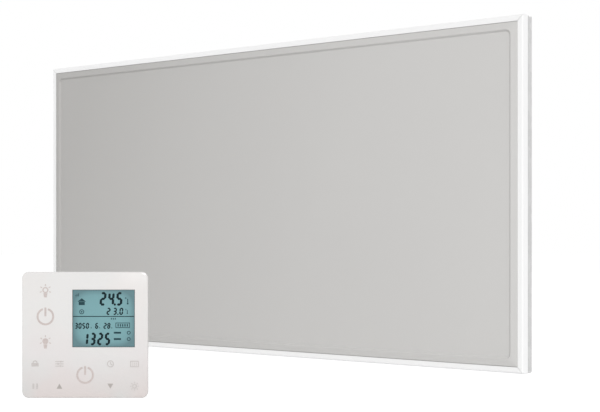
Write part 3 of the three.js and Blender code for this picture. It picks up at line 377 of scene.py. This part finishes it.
class Face:
    """The directions of the controller's face, from the solids."""

    def __init__(self):
        mounts = {m["name"]: m for m in frame["record"]["mounts"]}
        back = Vector(mounts["controller_wall_face"]["axis"]).normalized()
        self.outward = -back
        self.right = back.cross(UP)

    def corner(self, node):
        """Top left corner of the node's foremost plane, and its width and height in millimetres."""
        points = [v.co for v in NODES[node].data.vertices]
        depth = max(p.dot(self.outward) for p in points)
        left = min(p.dot(self.right) for p in points)
        wide = max(p.dot(self.right) for p in points) - left
        top = max(p.z for p in points)
        tall = top - min(p.z for p in points)
        origin = self.right * left + self.outward * depth
        origin.z = top
        return origin, wide / MM, tall / MM


PRINT_THICKNESS = 0.00003


class Print:
    """Flat closed shapes on a face, drawn in millimetres from its origin: x to the right and y down."""

    def __init__(self, face, origin):
        self.face, self.origin = face, origin
        self.mesh = bmesh.new()

    def vertices(self, points, lift):
        return [self.mesh.verts.new(
            self.origin + self.face.right * (x * MM) - UP * (y * MM) + self.face.outward * lift)
            for x, y in points]

    def polygon(self, points):
        """A prism on an outline, given in order round it."""
        area = sum(a[0] * b[1] - b[0] * a[1] for a, b in zip(points, points[1:] + points[:1]))
        if area > 0:
            points = points[::-1]
        low = self.vertices(points, 0)
        high = self.vertices(points, PRINT_THICKNESS)
        self.mesh.faces.new(high)
        self.mesh.faces.new(low[::-1])
        for i in range(len(points)):
            j = (i + 1) % len(points)
            self.mesh.faces.new((low[i], low[j], high[j], high[i]))

    def bar(self, x0, y0, x1, y1, width):
        along = Vector((x1 - x0, y1 - y0)).normalized() * (width / 2)
        side = Vector((-along.y, along.x))
        corners = [(x0, y0, -1), (x0, y0, 1), (x1, y1, 1), (x1, y1, -1)]
        self.polygon([(x + side.x * s, y + side.y * s) for x, y, s in corners])

    def outline(self, x0, y0, x1, y1, width):
        """A rectangle's four sides, each a bar of its own that stops short of the next."""
        half = width / 2
        self.bar(x0 - half, y0, x1 - half, y0, width)
        self.bar(x1, y0 - half, x1, y1 - half, width)
        self.bar(x1 + half, y1, x0 + half, y1, width)
        self.bar(x0, y1 + half, x0, y0 + half, width)

    def rays(self, x, y, start, end, turns, width):
        """Bars that point away from x, y, between two distances from it."""
        for degrees in turns:
            (x0, y0), (x1, y1) = on_clock(start, degrees), on_clock(end, degrees)
            self.bar(x + x0, y + y0, x + x1, y + y1, width)

    def arc(self, x, y, radius, width, start=0.0, end=360.0, steps=48):
        """A ring or part of one, made of one prism per step. Degrees, clockwise from the top."""
        closed = end - start >= 360
        ring = []
        for i in range(steps if closed else steps + 1):
            degrees = start + (end - start) * i / steps
            offsets = [on_clock(radius + side, degrees) for side in (width / 2, -width / 2)]
            points = [(x + dx, y + dy) for dx, dy in offsets]
            ring.append([self.vertices(points, lift) for lift in (0, PRINT_THICKNESS)])
        for a, b in zip(ring, ring[1:] + (ring[:1] if closed else [])):
            (low_out_a, low_in_a), (high_out_a, high_in_a) = a
            (low_out_b, low_in_b), (high_out_b, high_in_b) = b
            self.mesh.faces.new((high_out_a, high_in_a, high_in_b, high_out_b))
            self.mesh.faces.new((low_out_a, low_out_b, low_in_b, low_in_a))
            self.mesh.faces.new((low_out_a, high_out_a, high_out_b, low_out_b))
            self.mesh.faces.new((low_in_b, high_in_b, high_in_a, low_in_a))
        if not closed:
            for (low_out, low_in), (high_out, high_in) in (ring[0], ring[-1]):
                self.mesh.faces.new((low_out, low_in, high_in, high_out))

    def disc(self, x, y, radius, steps=24):
        turns = [2 * math.pi * i / steps for i in range(steps)]
        self.polygon([(x + radius * math.cos(a), y + radius * math.sin(a)) for a in turns])

    def finish(self, name, material):
        bmesh.ops.recalc_face_normals(self.mesh, faces=self.mesh.faces)
        new_piece(name, mesh_from(self.mesh, name), material, FRONT_UNIT)


# ---- Touch plate's symbols ---------------------------------------------------------------------------

KEY_STROKE = 1.35
MARK_STROKE = 0.65
BULB_RADIUS = 2.1
BULB_TURNS = (-112, -56, 0, 56, 112)
BULB_CAP = ((-1.35, 2.2), (1.35, 2.2), (0.95, 5.1), (-0.95, 5.1))
POWER_RADIUS = 5.45
POWER_GAP = 19  # degrees to each side of the bar
TRIANGLE_HALF_WIDTH = 2.0
TRIANGLE_HALF_HEIGHT = 1.8
PADLOCK_HALF_WIDTH = 2.5
PADLOCK_HEIGHT = 2.4
SUN_TURNS = range(0, 360, 45)

# Places are millimetres from the touch plate's top left corner.
KEY_COLUMN = 16.4
UPPER_BULB_Y, UPPER_POWER_Y, LOWER_BULB_Y = 12.7, 31.2, 48.4
LOWER_POWER = (44.1, 72.0)
UPPER_ROW, LOWER_ROW = 64.2, 79.8
OUTER_LEFT, INNER_LEFT, INNER_RIGHT, OUTER_RIGHT = 9.2, 26.2, 61.8, 78.6


def bulb_symbol(sheet, x, y, filled):
    """A lamp with rays: the upper key's is an outline, the lower key's is filled."""
    if filled:
        sheet.disc(x, y, BULB_RADIUS)
    else:
        sheet.arc(x, y, BULB_RADIUS - 0.4, 0.85)
    sheet.polygon([(x + dx, y + dy) for dx, dy in BULB_CAP])
    sheet.rays(x, y, BULB_RADIUS + 0.7, BULB_RADIUS + 2.1, BULB_TURNS, 0.7)


def power_symbol(sheet, x, y):
    sheet.arc(x, y, POWER_RADIUS, KEY_STROKE, POWER_GAP, 360 - POWER_GAP)
    sheet.bar(x, y - POWER_RADIUS - 0.9, x, y - 0.2, KEY_STROKE)


def triangle_symbol(sheet, x, y, tip):
    """A filled arrow head: tip is how far its point lies below its middle."""
    sheet.polygon([(x - TRIANGLE_HALF_WIDTH, y - tip), (x + TRIANGLE_HALF_WIDTH, y - tip), (x, y + tip)])


def padlock_symbol(sheet, x, y):
    left, right, low = x - PADLOCK_HALF_WIDTH, x + PADLOCK_HALF_WIDTH, y + PADLOCK_HEIGHT
    sheet.polygon([(left, y), (right, y), (right, low), (left, low)])
    sheet.arc(x, y - 0.15, 1.35, 0.75, -90, 90, 16)


def slider_symbol(sheet, x, y):
    """Three rules, each with a knob at its own place and a gap on both sides of it."""
    reach, gap = 2.9, 0.8
    for dy, knob in ((-1.6, 1.0), (0, -0.9), (1.6, 0.7)):
        sheet.bar(x - reach, y + dy, x + knob - gap, y + dy, MARK_STROKE)
        sheet.bar(x + knob + gap, y + dy, x + reach, y + dy, MARK_STROKE)
        sheet.disc(x + knob, y + dy, 0.7, 16)


def clock_symbol(sheet, x, y):
    sheet.arc(x, y, 2.1, MARK_STROKE)
    sheet.bar(x, y + 0.2, x, y - 1.3, MARK_STROKE)
    sheet.bar(x + 0.3, y + 0.2, x + 1.2, y + 0.7, MARK_STROKE)


def calendar_symbol(sheet, x, y):
    sheet.outline(x - 2.7, y - 1.8, x + 2.7, y + 2.0, MARK_STROKE)
    for dx in (-1.3, 0, 1.3):
        for dy in (-0.5, 0.8):
            sheet.disc(x + dx, y + dy, 0.42, 12)


def hold_symbol(sheet, x, y):
    for dx in (-1.3, 1.3):
        sheet.bar(x + dx, y - 1.9, x + dx, y + 1.9, 1.3)


def sun_symbol(sheet, x, y):
    sheet.arc(x, y, 1.3, 0.8, steps=24)
    sheet.rays(x, y, 2.1, 3.1, SUN_TURNS, 0.6)


def add_symbols(face):
    """The keys' symbols, in three inks."""
    origin, _, _ = face.corner("controller_touch_plate")
    symbols = Print(face, origin)
    bulb_symbol(symbols, KEY_COLUMN, UPPER_BULB_Y, filled=False)
    bulb_symbol(symbols, KEY_COLUMN, LOWER_BULB_Y, filled=True)
    power_symbol(symbols, KEY_COLUMN, UPPER_POWER_Y)
    power_symbol(symbols, *LOWER_POWER)
    marks = Print(face, origin)
    padlock_symbol(marks, OUTER_LEFT, UPPER_ROW - 0.6)
    slider_symbol(marks, INNER_LEFT, UPPER_ROW)
    clock_symbol(marks, INNER_RIGHT, UPPER_ROW)
    calendar_symbol(marks, OUTER_RIGHT, UPPER_ROW)
    hold_symbol(marks, OUTER_LEFT + 0.1, LOWER_ROW)
    sun_symbol(marks, OUTER_RIGHT, LOWER_ROW)
    arrows = Print(face, origin)
    triangle_symbol(arrows, INNER_LEFT, LOWER_ROW, -TRIANGLE_HALF_HEIGHT)
    triangle_symbol(arrows, INNER_RIGHT - 0.1, LOWER_ROW, TRIANGLE_HALF_HEIGHT)
    warm_ink = printed_ink("ink_warm_grey", (0.56, 0.495, 0.475))
    pale_ink = printed_ink("ink_pale_grey", (0.54, 0.51, 0.495))
    grey_ink = printed_ink("ink_grey", (0.42, 0.39, 0.37))
    symbols.finish("key_symbols", warm_ink)
    marks.finish("key_marks", pale_ink)
    arrows.finish("key_arrows", grey_ink)


# ---- Display's figures -------------------------------------------------------------------------------

SEGMENTS = {
    "0": "abcdef", "1": "bc", "2": "abged", "3": "abgcd", "4": "fgbc", "5": "afgcd",
    "6": "afgedc", "7": "abc", "8": "abcdefg", "9": "abcdfg",
}
SLANT = 0.08
SEGMENT_INSET = 0.02  # of the stroke, from each end of a segment
SEGMENT_TAPER = 0.36  # of the stroke, from a segment's point to its full width

# Text, the first figure's lower left corner, width, height, stroke and pitch, in millimetres from the
# display's top left corner.
READINGS = (
    ("24.5", 19.4, 10.1, 2.75, 7.9, 1.65, 5.7),
    ("23.0", 23.9, 16.9, 1.7, 4.1, 0.95, 4.45),
    ("1325", 7.4, 37.8, 2.35, 7.3, 1.6, 5.1),
    ("3050", 1.6, 26.7, 1.35, 3.4, 0.82, 2.6),
    ("6", 15.9, 26.7, 1.35, 3.4, 0.82, 2.6),
    ("28", 21.7, 26.7, 1.35, 3.4, 0.82, 2.6),
)
RULE_Y = 18.4
RULE_MARGIN = 0.2
RULE_STROKE = 0.55
TICK_COLUMNS = (27.0, 28.3, 29.6)
TICK_TOP, TICK_FOOT = 19.4, 20.6
SETTING_ROWS = (29.8, 34.2)
SETTING_RULE = (28.6, 33.6)
SETTING_RING_X = 39.0
DATE_POINTS = (12.8, 18.7, 27.2)
DATE_POINT_Y = 26.4


def segment_figure(sheet, figure, x, y, width, height, stroke):
    """One slanted seven-segment figure whose lower left corner is at x, y."""
    half = height / 2
    ends = {
        "a": ((0, height), (width, height)), "g": ((0, half), (width, half)), "d": ((0, 0), (width, 0)),
        "f": ((0, half), (0, height)), "b": ((width, half), (width, height)),
        "e": ((0, 0), (0, half)), "c": ((width, 0), (width, half)),
    }
    for segment in SEGMENTS[figure]:
        start, end = (Vector(place) for place in ends[segment])
        along = (end - start).normalized()
        side = Vector((-along.y, along.x)) * (stroke / 2)
        start += along * (stroke * SEGMENT_INSET)
        end -= along * (stroke * SEGMENT_INSET)
        taper = along * (stroke * SEGMENT_TAPER)
        outline = [start, start + taper + side, end - taper + side,
                   end, end - taper - side, start + taper - side]
        sheet.polygon([(x + p.x + p.y * SLANT, y - p.y) for p in outline])


def figures(sheet, text, x, y, width, height, stroke, pitch):
    """A row of figures. A full stop marks the point after the figure before it."""
    for figure in text:
        if figure == ".":
            sheet.disc(x - (pitch - width) / 2, y, stroke * 0.5, 12)
        else:
            segment_figure(sheet, figure, x, y, width, height, stroke)
            x += pitch


def thermometer(sheet, x, y, size):
    """A ring for degrees, and a little thermometer whose bulb is at x, y."""
    sheet.arc(x - size * 0.95, y - size * 2.5, size * 0.28, size * 0.2, steps=16)
    sheet.bar(x, y - size * 2.2, x, y - size * 0.4, size * 0.42)
    sheet.disc(x, y + size * 0.05, size * 0.42, 16)


def level_gauge(sheet, x, y, width, height, count):
    """An outlined gauge with a row of full bars."""
    sheet.outline(x, y, x + width, y + height, 0.45)
    pitch = width / (count + 1)
    for i in range(count):
        middle = x + pitch * (i + 1)
        sheet.bar(middle, y + 0.7, middle, y + height - 0.7, pitch * 0.5)


def signal_mark(sheet, x, y):
    for i, length in enumerate((0.8, 1.4, 2.0)):
        sheet.bar(x + i * 0.9, y, x + i * 0.9, y - length, 0.45)


def house_mark(sheet, x, y):
    """A roof and the walls under it, round the middle of the eaves."""
    sheet.polygon([(x - 3.0, y), (x, y - 2.4), (x + 3.0, y)])
    sheet.polygon([(x - 2.1, y + 0.2), (x + 2.1, y + 0.2), (x + 2.1, y + 2.4), (x - 2.1, y + 2.4)])


def target_mark(sheet, x, y):
    sheet.arc(x, y, 1.45, 0.5, steps=24)
    sheet.disc(x, y, 0.55, 12)


def add_display(face):
    """Readings, a rule across the middle, and small marks beside them."""
    origin, wide, _ = face.corner("controller_display_window")
    ink = Print(face, origin)
    for reading in READINGS:
        figures(ink, *reading)
    ink.bar(RULE_MARGIN, RULE_Y, wide - RULE_MARGIN, RULE_Y, RULE_STROKE)
    soft = Print(face, origin)
    add_display_marks(soft)
    dark = printed_ink("ink_display", (0.006, 0.018, 0.022), 0.3)
    paler = printed_ink("ink_display_pale", (0.02, 0.055, 0.065), 0.3)
    ink.finish("display_figures", dark)
    soft.finish("display_marks", paler)


def add_display_marks(sheet):
    """Marks before the readings, their units, a level gauge, a list of settings and the date's points."""
    signal_mark(sheet, 2.0, 4.4)
    house_mark(sheet, 6.2, 8.1)
    target_mark(sheet, 6.2, 15.2)
    thermometer(sheet, 38.3, 9.4, 1.5)
    thermometer(sheet, 38.0, 16.2, 1.05)
    level_gauge(sheet, 30.0, 23.0, 9.6, 3.2, 5)
    for x in TICK_COLUMNS:
        sheet.bar(x, TICK_TOP, x, TICK_FOOT, 0.6)
    for y in SETTING_ROWS:
        sheet.bar(SETTING_RULE[0], y, SETTING_RULE[1], y, 1.3)
        sheet.arc(SETTING_RING_X, y, 1.05, 0.5, steps=20)
    for x in DATE_POINTS:
        sheet.disc(x, DATE_POINT_Y, 0.35, 12)


# ---- Fastenings behind -------------------------------------------------------------------------------

# A pan head's profile from its top to its rim: share of the radius, and of the height.
PAN_HEAD = [(0.0, 1.0), (0.35, 0.97), (0.62, 0.86), (0.84, 0.62), (0.96, 0.3), (1.0, 0.0)]
PAN_HEAD_STEPS = 32
SMOOTH_BELOW = math.radians(40)
CROSS_WIDTH = 0.26  # of the head's width
CROSS_LENGTH = 0.62  # of the head's width
CROSS_DEPTH = 0.5  # of the height
CROSS_EXCESS = 0.2  # of the height, above the head

SCREW_RADIUS = 0.0032
SCREW_HEIGHT = 0.0016
SCREW_INSET = 0.0055  # from the tray's edge to the screws' middles
SCREW_END = 0.03  # from the tray's sides to the first and last screws of the long rows
SCREWS_ACROSS = 5
SCREWS_UP = 3


def pan_head(seat):
    """A domed head, standing on seat and facing +Y."""
    mesh = bmesh.new()
    turns = [2 * math.pi * i / PAN_HEAD_STEPS for i in range(PAN_HEAD_STEPS)]
    rings = []
    for share, rise in PAN_HEAD:
        radius = share * SCREW_RADIUS
        offsets = [(radius * math.cos(turn), rise * SCREW_HEIGHT, radius * math.sin(turn)) for turn in turns]
        if share == 0:
            offsets = offsets[:1]
        rings.append([mesh.verts.new(seat + Vector(offset)) for offset in offsets])
    for inner, outer in zip(rings, rings[1:]):
        for i in range(PAN_HEAD_STEPS):
            j = (i + 1) % PAN_HEAD_STEPS
            if len(inner) == 1:
                mesh.faces.new((inner[0], outer[i], outer[j]))
            else:
                mesh.faces.new((inner[i], outer[i], outer[j], inner[j]))
    mesh.faces.new(rings[-1])
    bmesh.ops.recalc_face_normals(mesh, faces=mesh.faces)
    return mesh_from(mesh, "pan_head")


def cross_cutter(seat):
    """Two crossed blocks that reach into the head's top."""
    mesh = bmesh.new()
    middle = seat + Vector((0, SCREW_HEIGHT * (1 + CROSS_EXCESS / 2 - CROSS_DEPTH / 2), 0))
    tall = SCREW_HEIGHT * (CROSS_DEPTH + CROSS_EXCESS)
    for size_x, size_z in ((CROSS_LENGTH, CROSS_WIDTH), (CROSS_WIDTH, CROSS_LENGTH)):
        scale = Matrix.Diagonal((2 * size_x * SCREW_RADIUS, tall, 2 * size_z * SCREW_RADIUS, 1))
        bmesh.ops.create_cube(mesh, size=1, matrix=Matrix.Translation(middle) @ scale)
    return bpy.data.objects.new("cross_cutter", mesh_from(mesh, "cross_cutter"))


def add_screw_head(name, seat, material):
    """A pan head with its cross recess cut out."""
    piece = new_piece(name, pan_head(seat), material, HEATER)
    cutter = cross_cutter(seat)
    bpy.context.scene.collection.objects.link(cutter)
    cut = piece.modifiers.new("cross", "BOOLEAN")
    cut.operation = "DIFFERENCE"
    cut.solver = "EXACT"
    cut.use_self = True
    cut.object = cutter
    evaluated = piece.evaluated_get(bpy.context.evaluated_depsgraph_get())
    result = bpy.data.meshes.new_from_object(evaluated)
    piece.modifiers.clear()
    piece.data = result
    for polygon in result.polygons:
        polygon.use_smooth = True
    result.set_sharp_from_angle(angle=SMOOTH_BELOW)
    bpy.data.objects.remove(cutter)


def screw_places():
    """Evenly along the frame's rails, on the tray's back, where the terminal box stands too."""
    low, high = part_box("back_tray")
    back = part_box("terminal_box")[0].y
    left, right = low.x + SCREW_END, high.x - SCREW_END
    places = []
    for i in range(SCREWS_ACROSS):
        x = left + (right - left) * i / (SCREWS_ACROSS - 1)
        places += [(x, back, low.z + SCREW_INSET), (x, back, high.z - SCREW_INSET)]
    for i in range(SCREWS_UP):
        z = low.z + (high.z - low.z) * (i + 1) / (SCREWS_UP + 1)
        places += [(low.x + SCREW_INSET, back, z), (high.x - SCREW_INSET, back, z)]
    return places


def add_fastenings(material):
    for number, place in enumerate(screw_places(), 1):
        add_screw_head(f"tray_screw_{number}", Vector(place), material)


# ---- Floor, light and background ---------------------------------------------------------------------

FLOOR_SIZE = 12.0
FLOOR_DROP = 0.0002
FLOOR_GREY = (0.92, 0.92, 0.92)
FLOOR_ROUGHNESS = 0.9
FLOOR_SHADE = (0.3, 0.3, 0.3, 1)  # where it is seen, for the shadow
FLOOR_GLOW = 0.84  # where it is seen
WORLD_LIGHT = 0.52

PANEL_MIDDLE = (0, 0, 0.15)
CONTROLLER_FRONT = (0.19, -0.38, 0.08)
GLINT = "glint"

# Name, place, what it points at, size and power in watts.
LAMPS = (
    ("right_front", (5.6, -5.35, 4.1), PANEL_MIDDLE, (2.4, 2.4), 350),
    ("left_front", (-1.4, -2.4, 0.3), PANEL_MIDDLE, (1.2, 1.2), 6),
    ("back", (0.3, 1.8, 1.4), PANEL_MIDDLE, (1.6, 1.0), 16),
    (GLINT, (0.87, -1.31, 0.06), CONTROLLER_FRONT, (0.08, 0.03), 0.015),
)


def add_floor():
    """A plain pale floor that glows where it is seen or mirrored, so that it blends into the background."""
    mesh = bmesh.new()
    bmesh.ops.create_grid(mesh, x_segments=1, y_segments=1, size=FLOOR_SIZE / 2)
    data = mesh_from(mesh, "floor")
    floor = bpy.data.objects.new("floor", data)
    floor.location.z = -FLOOR_DROP
    bpy.context.scene.collection.objects.link(floor)
    s = Shader("floor_white", FLOOR_GREY, FLOOR_ROUGHNESS)
    shade = s.node("ShaderNodeBsdfDiffuse", {"Color": FLOOR_SHADE}).outputs["BSDF"]
    glow = s.node("ShaderNodeEmission", {"Color": WHITE, "Strength": FLOOR_GLOW}).outputs["Emission"]
    lit = s.node("ShaderNodeAddShader", {0: shade, 1: glow}).outputs["Shader"]
    mixed = s.node("ShaderNodeMixShader", {0: seen_or_mirrored(s.tree), 1: s.shader.outputs["BSDF"], 2: lit})
    s.tree.links.new(mixed.outputs["Shader"], s.tree.nodes["Material Output"].inputs["Surface"])
    data.materials.append(s.material)


def add_world():
    """White where it is seen or mirrored, and an even grey light otherwise."""
    world = bpy.data.worlds.new("world")
    bpy.context.scene.world = world
    world.use_nodes = True
    tree = world.node_tree
    tree.nodes.clear()
    light, white = (
        add_node(tree, "ShaderNodeBackground", {"Color": WHITE, "Strength": strength}).outputs["Background"]
        for strength in (WORLD_LIGHT, 1))
    mixed = add_node(tree, "ShaderNodeMixShader", {0: seen_or_mirrored(tree), 1: light, 2: white})
    add_node(tree, "ShaderNodeOutputWorld", {"Surface": mixed.outputs["Shader"]})


def add_lamps():
    """A far lamp at the right in front, a near one at the left, one behind, and one that only glints."""
    for name, place, target, size, power in LAMPS:
        data = bpy.data.lights.new(name, "AREA")
        data.shape = "RECTANGLE"
        data.size, data.size_y = size
        data.energy = power
        lamp = bpy.data.objects.new(name, data)
        lamp.location = place
        lamp.rotation_euler = (Vector(target) - Vector(place)).to_track_quat("-Z", "Y").to_euler()
        lamp.visible_diffuse = name != GLINT
        bpy.context.scene.collection.objects.link(lamp)


# ---- Dressing the solids -----------------------------------------------------------------------------


def make_looks(face):
    """A material for each slot of the record."""
    corner, wide, tall = face.corner("controller_display_window")
    half_width, half_height = wide / 2 * MM, tall / 2 * MM
    centre = corner + face.right * half_width - UP * half_height
    looks = {
        "frame_white": powder_coat(),
        "plate_grey": baked_enamel(*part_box("front_plate")),
        "insulation": fibre_board(),
        "galvanised": galvanised(),
        "steel": zinc_plate(),
        "box_black": moulded_black(),
        "controller_gloss": gloss_white(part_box("controller_touch_plate")[1].z),
        "controller_shell": satin_white(),
        "display_teal": display_teal(centre, face.right, half_width, half_height),
    }
    for name, settings in MOULDINGS.items():
        looks[name] = plain_moulding(name, *settings)
    return looks


def dress_nodes(looks):
    for part in frame["record"]["subparts"]:
        data = NODES[part["node"]].data
        data.materials.clear()
        data.materials.append(looks[part["material_slot"]])


# ---- Scene -------------------------------------------------------------------------------------------

bpy.context.scene.view_settings.view_transform = "Standard"
add_camera()
add_floor()
add_world()
add_lamps()
controller_face = Face()
materials = make_looks(controller_face)
dress_nodes(materials)
add_symbols(controller_face)
add_display(controller_face)
add_fastenings(materials["steel"])
